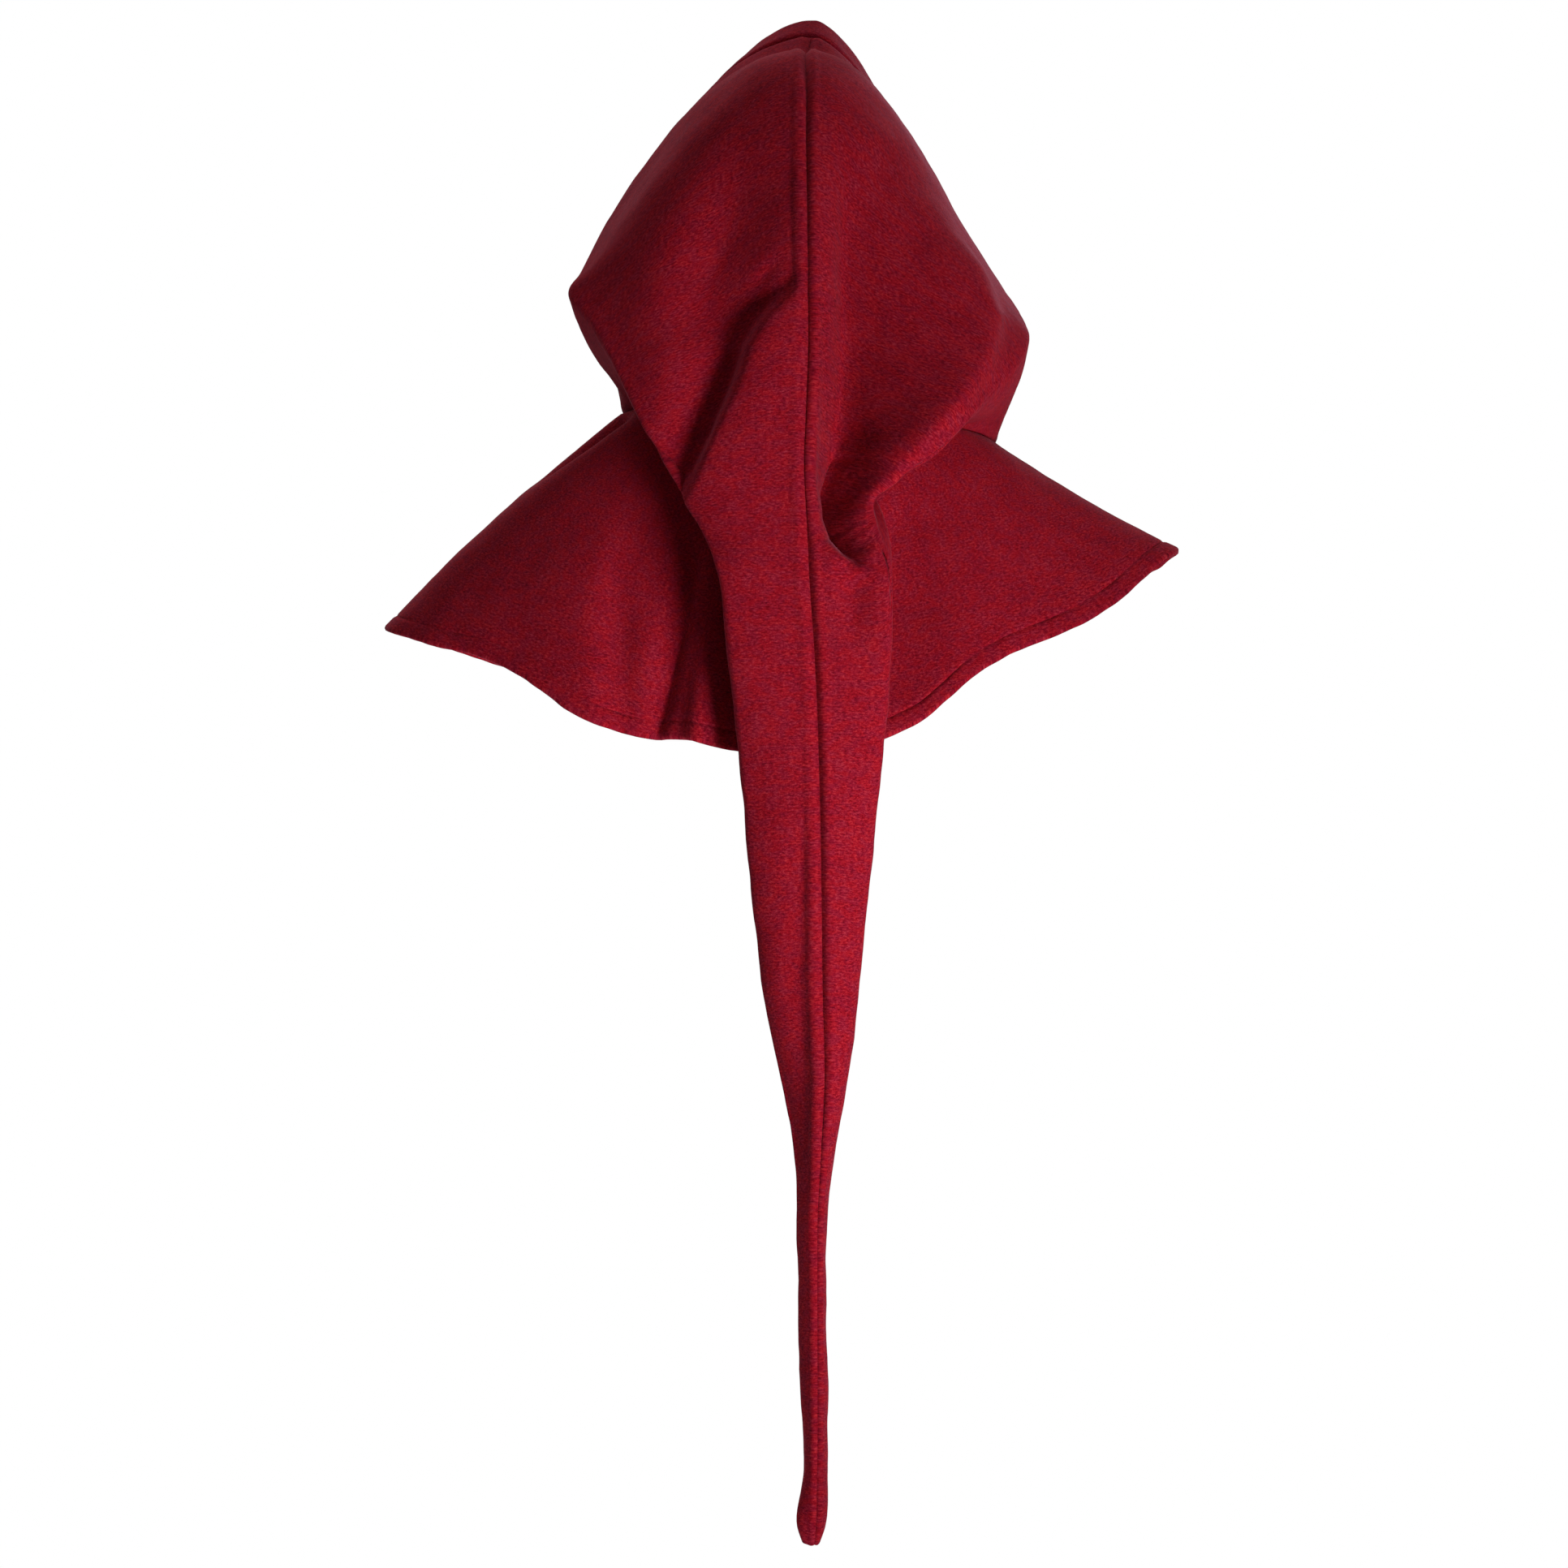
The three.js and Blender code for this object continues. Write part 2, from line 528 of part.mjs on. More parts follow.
// Moves the edges that lie on the middle seams apart.
function partFromMiddle(points, side, isMiddle) {
  return points.map((row, i) =>
    row.map((point, j) => (isMiddle(i, j) ? add(point, [(side * SEAM_GAP) / 2, 0, 0]) : point)),
  );
}

const halves = [
  { hood: hoodHalf("hood_left", -1, LEFT_SECTIONS), cape: LEFT_CAPE },
  { hood: hoodHalf("hood_right", 1, RIGHT_SECTIONS), cape: RIGHT_CAPE },
];

for (const { hood, cape: capeSections } of halves) {
  const cape = capeHalf(hood, capeSections);
  const { side, rows, bandEnd } = hood;
  const first = bandEnd + 1;
  const isMiddle = (i, j) => {
    const t = rows[i + first];
    return j === 0 || (j === COLUMNS && (t <= travel.throat || t >= travel.nape));
  };
  const hoodPoints = partFromMiddle(hood.points.slice(first), side, isMiddle);
  addPiece(hood.name, FELT_COLOUR, hoodPoints, hood.normals.slice(first));
  const lastColumn = cape.points[0].length - 1;
  const capePoints = partFromMiddle(cape.points, side, (i, j) => j === 0 || j === lastColumn);
  const hemStart = CAPE_RINGS;
  const inward = (i) => (i >= hemStart ? HEM_WALL - WALL / 2 : WALL / 2);
  addPiece(cape.name, FELT_COLOUR, capePoints, cape.normals, inward);
}

// The band runs round the face opening in one piece, its ends meeting under the chin.
const [leftHood, rightHood] = halves.map((half) => half.hood);
const bandRow = (grid, i) => [...grid(leftHood)[i].slice(1).reverse(), ...grid(rightHood)[i]];
const bandRows = [...Array(leftHood.bandEnd + 1).keys()];
const bandPoints = bandRows.map((i) => bandRow((hood) => hood.points, i));
const bandNormals = bandRows.map((i) => bandRow((hood) => hood.normals, i));
const chinGap = (i, j) => j === 0 || j === 2 * COLUMNS;
const parted = bandPoints.map((row, i) =>
  row.map((point, j) => (chinGap(i, j) ? add(point, [j === 0 ? -SEAM_GAP / 2 : SEAM_GAP / 2, 0, 0]) : point)),
);
addPiece("face_band", BAND_COLOUR, parted, bandNormals);

export default group;
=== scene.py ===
"""A hooded shoulder cape with a very long tail on the hood, in thick dark red wool felt, as worn.

The tables are in millimetres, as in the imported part. Meshes, lights and the camera are in metres.
"""
import math

import bpy
import numpy as np
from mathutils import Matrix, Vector, noise


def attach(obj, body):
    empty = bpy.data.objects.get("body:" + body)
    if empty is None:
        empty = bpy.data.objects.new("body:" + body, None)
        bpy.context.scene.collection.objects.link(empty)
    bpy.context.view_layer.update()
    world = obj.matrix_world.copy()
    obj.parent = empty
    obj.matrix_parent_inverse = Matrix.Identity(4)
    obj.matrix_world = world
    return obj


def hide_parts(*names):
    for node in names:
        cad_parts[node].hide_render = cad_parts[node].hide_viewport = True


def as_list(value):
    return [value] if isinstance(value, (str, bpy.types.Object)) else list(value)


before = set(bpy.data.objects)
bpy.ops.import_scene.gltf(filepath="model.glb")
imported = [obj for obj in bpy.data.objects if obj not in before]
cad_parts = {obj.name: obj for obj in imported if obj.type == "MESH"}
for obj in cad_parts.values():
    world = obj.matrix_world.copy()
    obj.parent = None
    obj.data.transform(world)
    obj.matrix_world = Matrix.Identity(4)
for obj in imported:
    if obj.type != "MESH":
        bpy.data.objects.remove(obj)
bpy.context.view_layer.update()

MM = 0.001

# ---- driving sizes, in millimetres ----
WALL = 2.5  # thickness of the felt
SEAM_GAP = -0.3  # pieces that are sewn together overlap a little
HEM_DEPTH = 11  # height of the turned hem
HEM_WALL = 5  # thickness where the hem is turned up to the inside
FOLD_FREE = 12  # distance from a sewn edge at which the cloth folds freely
SMOOTH_FREE = 10  # distance from a sewn edge at which the cloth is fully uneven
ROUND = 0.55  # handle length that makes a quarter of an oval
TUCK = 0.4  # how far the cloth behind a sharp edge heads inwards, as a share of its way
EDGE_ROUND = 4.5  # how far the cloth takes to turn round a sharp edge, each way

# ---- camera: where the picture's middle and its width fall on the plane y = 0 ----
CAMERA_DISTANCE = 4.0
PICTURE_HALF_WIDTH = 0.5796
PICTURE_MIDDLE = (-0.0204, -0.2436)

# ---- sections of the hood, from the face opening to the tip of the tail ----
MIDDLE_SEAM = [
    # name, x, y, z
    ("rim", 3, 80, 331),
    ("band", 0, 57, 317),
    ("throat", -3, 22, 297),
    ("crown", -4, -14, 296),
    ("crown_back", -5, -52, 289),
    ("upper_back", -4, -92, 262),
    ("back", -4.5, -122, 214),
    ("corner", -4, -140, 166),
    ("kite", -3.5, -150, 118),
    ("low_kite", -3, -156, 72),
    ("gather", -4.5, -163, 26),
    ("tail_root", -6, -172, -20),
    ("nape", -4, -178, -62),
    ("tail_top", -2.5, -181, -98),
    ("tail_wide", 1, -185, -150),
    ("tail_hem", 4, -188, -222),
    ("tail_mid", 6, -189, -318),
    ("tail_low", 7, -188, -398),
    ("taper", 8.5, -186, -452),
    ("taper_end", 6, -183, -508),
    ("cord_top", 3.5, -181, -560),
    ("cord_mid", 3.5, -180, -670),
    ("cord_low", 3, -179, -728),
    ("tip", 2, -173, -773),
    ("tip_end", 1, -167, -782),
]
SIDE_COLUMNS = ["edge_x", "edge_y", "edge_z", "inner_x", "inner_y", "inner_z", "arm", "flat"]
LEFT_SECTIONS = [
    ("rim", -91, 88, 208, 0, 98, 42, 0.42, 0),
    ("band", -107, 66, 209, 0, 103, 20, 0.42, 0.1),
    ("throat", -123, 38, 198, 0, 107, -3, 0.49, 0.4),
    ("crown", -142, 10, 184, -50, 100, 2, 0.44, 0.6),
    ("crown_back", -158, -16, 155, -96, 78, 10, 0.42, 0.8),
    ("upper_back", -170, -52, 127, -128, 44, 20, 0.44, 0.9),
    ("back", -176, -74, 112, -139, 5, 28, 0.4, 1),
    ("corner", -160, -96, 90, -136, -30, 31, 0.36, 1),
    ("kite", -143, -112, 61, -120, -60, 30, 0.36, 1),
    ("low_kite", -129, -124, 33, -92, -79, 26, 0.38, 0.9),
    ("gather", -115, -135, 2, -58, -90, 21, 0.4, 0.8),
    ("tail_root", -98, -147, -30, -26, -95, 16, 0.5, 0.4),
    ("nape", -79, -156, -60, 0, -99, 12, 0.65, 0.1),
    ("tail_top", -67, -172, -96, 0, -118, -6, 0.8, 0),
    ("tail_wide", -60, -175, -150, 0, -132, -62, 0.8, 0),
    ("tail_hem", -52, -173, -222, 0, -147, -150, 0.7, 0),
    ("tail_mid", -43, -166, -318, 2, -152, -290, 0.55, 0),
    ("tail_low", -34, -161, -398, 4, -154, -398, 0.45, 0.3),
    ("taper", -23, -158, -452, 6, -155, -452, 0.4, 0.5),
    ("taper_end", -13, -160, -508, 5, -155.5, -508, 0.38, 0.5),
    ("cord_top", -11, -163, -560, 2, -156, -560, 0.38, 0.5),
    ("cord_mid", -8.5, -164, -670, 2, -156, -670, 0.38, 0.5),
    ("cord_low", -5.5, -165, -728, 2, -156, -728, 0.55, 0),
    ("tip", -10, -165, -771, 2, -158, -773, 0.55, 0),
    ("tip_end", -7, -165, -780, 1, -163.5, -782, 0.55, 0),
]
RIGHT_SECTIONS = [
    ("rim", 84, 88, 180, 0, 98, 42, 0.22, 0.3),
    ("band", 97, 66, 172, 0, 103, 20, 0.24, 0.5),
    ("throat", 118, 40, 156, 0, 107, -3, 0.4, 0.7),
    ("crown", 134, 12, 134, 50, 100, -2, 0.43, 0.9),
    ("crown_back", 146, -16, 112, 96, 76, -1, 0.42, 1),
    ("upper_back", 154, -42, 96, 124, 42, 1, 0.37, 1),
    ("back", 157, -76, 79, 134, 5, 4, 0.34, 1),
    ("corner", 149, -97, 62, 133, -30, 8, 0.33, 1),
    ("kite", 132, -118, 42, 118, -60, 13, 0.33, 1),
    ("low_kite", 114, -138, 21, 91, -79, 17, 0.34, 1),
    ("gather", 88, -154, -8, 58, -90, 18, 0.4, 0.8),
    ("tail_root", 46, -160, -38, 26, -95, 15, 0.45, 0.5),
    ("nape", 45, -164, -64, 0, -99, 12, 0.6, 0.3),
    ("tail_top", 55, -172, -94, 0, -118, -6, 0.75, 0),
    ("tail_wide", 55, -176, -146, 0, -132, -62, 0.78, 0),
    ("tail_hem", 49, -174, -222, 0, -147, -150, 0.7, 0),
    ("tail_mid", 39, -169, -318, 2, -152, -290, 0.55, 0),
    ("tail_low", 31, -168, -398, 4, -154, -398, 0.55, 0),
    ("taper", 24, -167, -452, 6, -155, -452, 0.55, 0),
    ("taper_end", 14, -166, -508, 5, -155.5, -508, 0.55, 0),
    ("cord_top", 9, -166, -560, 2, -156, -560, 0.55, 0),
    ("cord_mid", 9.5, -166, -670, 2, -156, -670, 0.55, 0),
    ("cord_low", 9.3, -165, -728, 2, -156, -728, 0.55, 0),
    ("tip", 7.5, -165, -771, 2, -158, -773, 0.55, 0),
    ("tip_end", 4.5, -165, -780, 1, -163.5, -782, 0.55, 0),
]
LEAVING = [
    # name, across, back, up
    ("rim", 0.55, 0, 0),
    ("band", 0.55, 0, 0),
    ("throat", 0.45, 0, 0.1),
    ("crown", 0.05, 0, 0.25),
    ("upper_back", 0, 0, 0.2),
    ("corner", 0, 0, 0.2),
    ("kite", 0, 0.1, 0.22),
    ("low_kite", 0, 0.25, 0.15),
    ("gather", 0.05, 0.25, 0.06),
    ("tail_root", 0.15, 0.18, 0),
    ("nape", 0.35, 0.25, 0),
    ("tail_top", 0.5, 0.1, 0),
    ("tail_wide", 0.55, 0, 0),
    ("tip_end", 0.55, 0, 0),
]
CAPE_COLUMNS = ["hem_x", "hem_y", "hem_z", "bulge"]
LEFT_CAPE = [
    ("throat", 0, 152, -205, 12),
    ("crown", -78, 146, -200, 12),
    ("crown_back", -155, 122, -180, 12),
    ("upper_back", -228, 86, -154, 13),
    ("back", -288, 44, -135, 9),
    ("corner", -313, -4, -128, 6),
    ("kite", -291, -50, -136, 6),
    ("low_kite", -224, -92, -156, 6),
    ("gather", -155, -120, -199, 8),
    ("tail_root", -84, -131, -212, 8),
    ("nape", 0, -134, -228, 8),
]
RIGHT_CAPE = [
    ("throat", 0, 152, -205, 12),
    ("crown", 72, 144, -188, 12),
    ("crown_back", 138, 120, -147, 10),
    ("upper_back", 200, 84, -114, 6),
    ("back", 246, 42, -88, -1),
    ("corner", 268, -6, -72, -3),
    ("kite", 256, -52, -78, -4),
    ("low_kite", 203, -96, -121, 2),
    ("gather", 127, -122, -156, 6),
    ("tail_root", 71, -132, -199, 8),
    ("nape", 0, -134, -228, 8),
]

# ---- folds: troughs (height below 0) and ridges, along lines seen from one side ----
# Walking along a line, "left" and "right" say how far the fold reaches on either hand.
# Each point of a line is its place in that view and the fold's height there.
FOLDS = [
    # on, seen from, left, right, line
    # the pinch under the left panel, and the bulge of the tail beside it
    ("hood_left_panel", "back", 22, 7,
     [(-100, -31, -6), (-91, -18, -9), (-78, 9, -11), (-66, 38, -11), (-56, 72, -10), (-45, 89, -8),
      (-29, 107, -6), (-8, 121, -3)]),
    ("hood_left_panel", "back", 7, 32,
     [(-82, -38, 4), (-69, -8, 8), (-57, 18, 9), (-47, 42, 9), (-40, 66, 8), (-28, 88, 6),
      (-12, 102, 3)]),
    ("hood_left_panel", "back", 22, 40,
     [(-74, 66, -4), (-77, 92, -11), (-74, 120, -14), (-65, 150, -14), (-53, 185, -11), (-44, 222, -3)]),
    ("hood_left_panel", "back", 30, 26, [(-108, 20, 5), (-108, 60, 7), (-112, 110, 6), (-104, 176, 3)]),
    ("hood_left_panel", "back", 4, 6, [(-44, 115, -1), (-36, 122, -2.5), (-27, 131, -1)]),
    # the dished right panel, its rolled lower edge, the hollow above the tail and what lies round it
    ("hood_right_panel", "back", 20, 54,
     [(13, -48, -4), (16, -30, -10), (20, -8, -19), (23, 14, -24), (27, 40, -26), (30, 70, -27),
      (32, 110, -26), (33, 150, -22), (33, 190, -12), (32, 225, -3)]),
    ("hood_right_panel", "back", 12, 26,
     [(9, -46, -5), (12, -30, -11), (17, -8, -16), (20, 14, -15), (24, 40, -12), (27, 70, -9),
      (29, 100, -8), (30, 140, -7), (30, 175, -5), (30, 210, -1)]),
    ("hood_right_panel", "back", 46, 12,
     [(74, -6, 6), (98, 24, 11), (114, 56, 15), (122, 88, 15), (112, 124, 12), (94, 162, 5)]),
    ("hood_right_panel", "back", 22, 8,
     [(46, -72, 2), (44, -54, 7), (47, -36, 11), (64, -12, 10), (88, 12, 8), (111, 37, 6),
      (134, 64, 4), (150, 80, 2)]),
    ("hood_right_panel", "back", 6, 23,
     [(38, -86, -2), (32, -82, -9), (25, -76, -20), (18, -66, -31), (15, -52, -35), (16, -36, -29),
      (19, -18, -14), (24, -2, -4)]),
    ("hood_right_panel", "back", 5, 9,
     [(40, -70, 1), (37, -56, 4), (39, -42, 5), (48, -30, 3), (60, -20, 0)]),
    ("hood_right_panel", "back", 3, 3, [(44, -88, 0), (34, -86, -2), (24, -90, -2), (14, -98, 0)]),
    ("hood_right_panel", "back", 12, 4, [(38, -92, 1), (28, -88, 3), (16, -83, 4), (6, -74, 2)]),
    ("hood_right_panel", "back", 9, 14, [(32, -148, -1), (30, -126, -5), (28, -106, -7), (26, -92, -3)]),
    # the tail, hollow on the left of its seam
    ("hood_left_panel", "back", 12, 7,
     [(-7, -504, -2), (-9, -435, -4), (-11, -378, -4), (-9, -309, -3), (-8, -263, -1)]),
    # the cape's back
    ("cape_left", "top", 11, 11, [(-128, -42, -6), (-150, -36, -11), (-172, -30, -11), (-192, -22, -5)]),
    ("cape_left", "back", 14, 6,
     [(-113, -216, -9), (-104, -180, -10), (-94, -135, -9), (-86, -100, -6), (-82, -80, -3)]),
    ("cape_left", "back", 9, 20, [(-84, -230, 15), (-80, -195, 14), (-75, -150, 9), (-72, -120, 2)]),
    ("cape_left", "back", 14, 12,
     [(-132, -215, -4), (-137, -159, -4), (-140, -124, -3), (-143, -89, -1)]),
    ("cape_left", "back", 50, 14, [(-158, -205, 8), (-160, -160, 8), (-160, -110, 7), (-150, -60, 3)]),
    ("cape_right", "back", 10, 48, [(48, -215, -12), (50, -159, -16), (52, -112, -16), (58, -66, -8)]),
    # the cape's front
    ("cape_left", "front", 19, 19, [(-46, -34, -5), (-60, -90, -11), (-70, -150, -12), (-76, -206, -7)]),
    ("cape_left", "front", 24, 24, [(-100, -24, 4), (-122, -80, 9), (-140, -130, 10), (-150, -182, 6)]),
    ("cape_left", "top", 17, 17, [(-148, 46, -4), (-190, 58, -9), (-236, 70, -5)]),
    ("cape_right", "front", 18, 18, [(40, -30, -5), (54, -80, -10), (64, -140, -11), (70, -190, -6)]),
    ("cape_right", "front", 22, 22, [(92, -20, 4), (108, -60, 8), (120, -100, 9), (128, -146, 5)]),
    ("cape_right", "top", 16, 16, [(138, 42, -4), (172, 52, -8), (210, 60, -4)]),
    # the hood's sides and throat
    ("hood_left_side", "left", 14, 14, [(72, 140, -4), (44, 104, -9), (14, 74, -9), (-16, 54, -4)]),
    ("hood_left_side", "front", 13, 13, [(-18, 12, -4), (-50, 32, -8), (-88, 64, -4)]),
    ("hood_right_side", "right", 13, 13, [(74, 118, -4), (48, 86, -8), (22, 56, -8), (0, 38, -4)]),
    ("hood_right_side", "front", 12, 12, [(22, 8, -4), (48, 34, -7), (74, 70, -3)]),
]

# ---- how finely the cloth is divided ----
ROW_STEPS = [("band", "nape", 2.4), ("nape", "tail_hem", 3.0), ("tail_hem", "tip_end", 4.2)]
BAND_STEP = 2.0
SEAM_ZONE, SEAM_COLUMNS = 16, 14  # beside the middle seam
PANEL_COLUMNS = 38
EDGE_ZONE, EDGE_COLUMNS = 6, 12  # round the outer edge
UNDER_COLUMNS = 34
SEAM_MOST, EDGE_MOST, ROUND_MOST = 0.55, 0.3, 0.25  # the zones' shares of a narrow section
CAPE_RINGS = 48
HEM_RINGS = [15, 13.5, 12.6, 11.9, 11.3, 10.7, 10.1, 9.3, 8.2, 7, 5.6, 4, 2.6, 1.2, 0]
SECTION_SAMPLES = 120
RIM_ANGLES = [math.pi * k / 4 for k in (1, 2, 3)]


# ---- vectors ----
def length(v):
    return np.sqrt((v * v).sum(-1))


def unit(v):
    return v / np.maximum(length(v), 1e-9)[..., None]


def flat_in_x(v):
    return unit(v * np.array([0.0, 1.0, 1.0]))


def dot(a, b):
    return (a * b).sum(-1)


def smoothstep(x, low, high):
    s = np.clip((x - low) / (high - low), 0, 1)
    return s * s * (3 - 2 * s)


# ---- curves through the sections ----
def smooth_curve(knots, values):
    """A smooth curve through values at uneven knots, level where either side of a knot is."""
    knots, values = np.array(knots, float), np.array(values, float)
    spans = np.diff(knots)
    slopes = np.diff(values) / spans
    inside = (slopes[:-1] * spans[1:] + slopes[1:] * spans[:-1]) / (spans[:-1] + spans[1:])
    inside[(slopes[:-1] == 0) | (slopes[1:] == 0)] = 0
    tangents = np.concatenate([slopes[:1], inside, slopes[-1:]])

    def at(t):
        i = np.clip(np.searchsorted(knots, t) - 1, 0, len(knots) - 2)
        s = (t - knots[i]) / spans[i]
        start = (2 * s**3 - 3 * s**2 + 1) * values[i] + (s**3 - 2 * s**2 + s) * spans[i] * tangents[i]
        end = (3 * s**2 - 2 * s**3) * values[i + 1] + (s**3 - s**2) * spans[i] * tangents[i + 1]
        return start + end

    return at


seam_steps = [math.dist(a[1:], b[1:]) for a, b in zip(MIDDLE_SEAM, MIDDLE_SEAM[1:])]
TRAVEL = dict(zip([row[0] for row in MIDDLE_SEAM], np.cumsum([0] + seam_steps)))


def curves_of(rows, columns):
    knots = [TRAVEL[row[0]] for row in rows]
    return {name: smooth_curve(knots, [row[k + 1] for row in rows]) for k, name in enumerate(columns)}


def stack(curves, names, t):
    return np.stack([curves[name](t) for name in names], -1)


def stations(first, last, step):
    start, end = TRAVEL[first], TRAVEL[last]
    return np.linspace(start, end, max(2, round((end - start) / step) + 1))


SEAM = curves_of(MIDDLE_SEAM, ["x", "y", "z"])
LEAVE = curves_of(LEAVING, ["across", "back", "up"])


def bezier(p0, p1, p2, p3, s):
    s = s[None, :, None]
    r = 1 - s
    p0, p1, p2, p3 = (p[:, None, :] for p in (p0, p1, p2, p3))
    return p0 * r**3 + 3 * p1 * r * r * s + 3 * p2 * r * s * s + p3 * s**3


def section_lines(curves, t):
    """Each section as a fine line: the panel from the seam to the edge, then the cloth behind."""
    seam = stack(SEAM, ["x", "y", "z"], t)
    edge = stack(curves, ["edge_x", "edge_y", "edge_z"], t)
    inner = stack(curves, ["inner_x", "inner_y", "inner_z"], t)
    turn = flat_in_x(inner - seam)
    flat = curves["flat"](t)[:, None]
    chord, rest = edge - seam, inner - edge
    across = np.array([1.0, 0.0, 0.0])
    forward = turn * np.abs(dot(chord, turn))[:, None] * ROUND
    leave = seam + chord * across * curves["arm"](t)[:, None]
    arrive = edge - (forward * (1 - flat) + chord / 3 * flat)
    s = np.linspace(0, 1, SECTION_SAMPLES)
    panel = bezier(seam, leave, arrive, edge, s)
    leave = edge + rest * across * TUCK * flat + turn * np.abs(dot(rest, turn))[:, None] * ROUND
    reach = length(rest)
    arrive = inner + np.stack(
        [-rest[:, 0] * LEAVE["across"](t), -reach * LEAVE["back"](t), reach * LEAVE["up"](t)], -1
    )
    behind = bezier(edge, leave, arrive, inner, s)
    return np.concatenate([panel, behind[:, 1:]], 1)


def along_line(line, places):
    """The points at the given distances along a line."""
    far = np.concatenate([[0], np.cumsum(length(np.diff(line, axis=0)))])
    return np.stack([np.interp(places, far, line[:, k]) for k in range(3)], -1)


def zones(ends, counts):
    """Places from 0 through each end, evenly spaced within each zone."""
    parts = [np.linspace(a, b, n + 1)[:-1] for a, b, n in zip([0, *ends], ends, counts)]
    return np.concatenate([*parts, ends[-1:]])


def hood_grid(curves, t):
    """Points of one half of the hood, with each one's distance from the seam and the panel's width."""
    lines = section_lines(curves, t)
    edge_at = SECTION_SAMPLES - 1
    grid, away, widths = [], [], []
    for line in lines:
        far = np.concatenate([[0], np.cumsum(length(np.diff(line, axis=0)))])
        panel, whole = far[edge_at], far[-1]
        behind = whole - panel
        turn = min(EDGE_ZONE, EDGE_MOST * panel, EDGE_MOST * behind)
        seam_zone = min(SEAM_ZONE, SEAM_MOST * (panel - turn))
        ends = np.array([seam_zone, panel - turn, panel + turn, whole])
        places = zones(ends, [SEAM_COLUMNS, PANEL_COLUMNS, EDGE_COLUMNS, UNDER_COLUMNS])
        points = along_line(line, places)
        radius = min(EDGE_ROUND, ROUND_MOST * panel, ROUND_MOST * behind)
        corner = along_line(line, np.array([panel - radius, panel, panel + radius]))
        s = np.clip((places - panel + radius) / (2 * radius), 0, 1)[:, None]
        rounded = corner[0] * (1 - s) ** 2 + corner[1] * 2 * s * (1 - s) + corner[2] * s**2
        near = (np.abs(places - panel) < radius)[:, None]
        grid.append(np.where(near, rounded, points))
        away.append(places)
        widths.append([panel, whole])
    return np.array(grid), np.array(away), np.array(widths)


# ---- folds ----
VIEWS = {
    "back": ([0, 2], (0, -1, 0)),
    "front": ([0, 2], (0, 1, 0)),
    "top": ([0, 1], (0, 0, 1)),
    "left": ([1, 2], (-1, 0, 0)),
    "right": ([1, 2], (1, 0, 0)),
}
FACING = 0.5  # cloth that faces the view by this much has the whole fold


def fold_shape(line, left_reach, right_reach, points):
    """The height of one fold at flat points: as its line at the nearest place, and less away from it."""
    line = np.array(line, float)
    best = np.full(points.shape[:-1], np.inf)
    height = np.zeros(points.shape[:-1])
    reach = np.ones(points.shape[:-1])
    for (*start, low), (*end, high) in zip(line, line[1:]):
        step = np.array(end) - start
        off = points - start
        k = np.clip((off @ step) / (step @ step), 0, 1)
        distance = length(off - step * k[..., None])
        closer = distance < best
        aside = step[0] * off[..., 1] - step[1] * off[..., 0]
        turn = aside / (length(step) * np.maximum(distance, 1e-6))
        share = np.clip(turn / 2 + 0.5, 0, 1)
        best = np.where(closer, distance, best)
        height = np.where(closer, low + (high - low) * k, height)
        reach = np.where(closer, left_reach * share + right_reach * (1 - share), reach)
    return height * np.exp(-((best / reach) ** 2))


def fold_height(zone, points, normals):
    height = np.zeros(points.shape[:-1])
    for on, seen, left_reach, right_reach, line in FOLDS:
        if on == zone:
            flat, faces = VIEWS[seen]
            facing = smoothstep(normals @ np.array(faces, float), 0, FACING)
            height += facing * fold_shape(line, left_reach, right_reach, points[..., flat])
    return height


def grid_normals(points, side):
    down = np.gradient(points, axis=0)
    across = np.gradient(points, axis=1)
    return unit(np.cross(down, across)) * side


def freedom(points, sewn_top):
    """How free each point is to fold: not at all on sewn edges, fully a little way off."""
    nearest = np.minimum(length(points - points[:, :1]), length(points - points[:, -1:]))
    if sewn_top:
        nearest = np.minimum(nearest, length(points - points[:1]))
    return smoothstep(nearest, 0, FOLD_FREE)


def moved_by(points, normals, height):
    return points + normals * height[..., None]


# ---- meshes ----
def perimeter(rows, columns):
    """The rows and columns of the points round a grid's edge, in order."""
    top = [(0, j) for j in range(columns)]
    last = [(i, columns - 1) for i in range(1, rows)]
    bottom = [(rows - 1, j) for j in range(columns - 2, -1, -1)]
    first = [(i, 0) for i in range(rows - 2, 0, -1)]
    return np.array(top + last + bottom + first).T


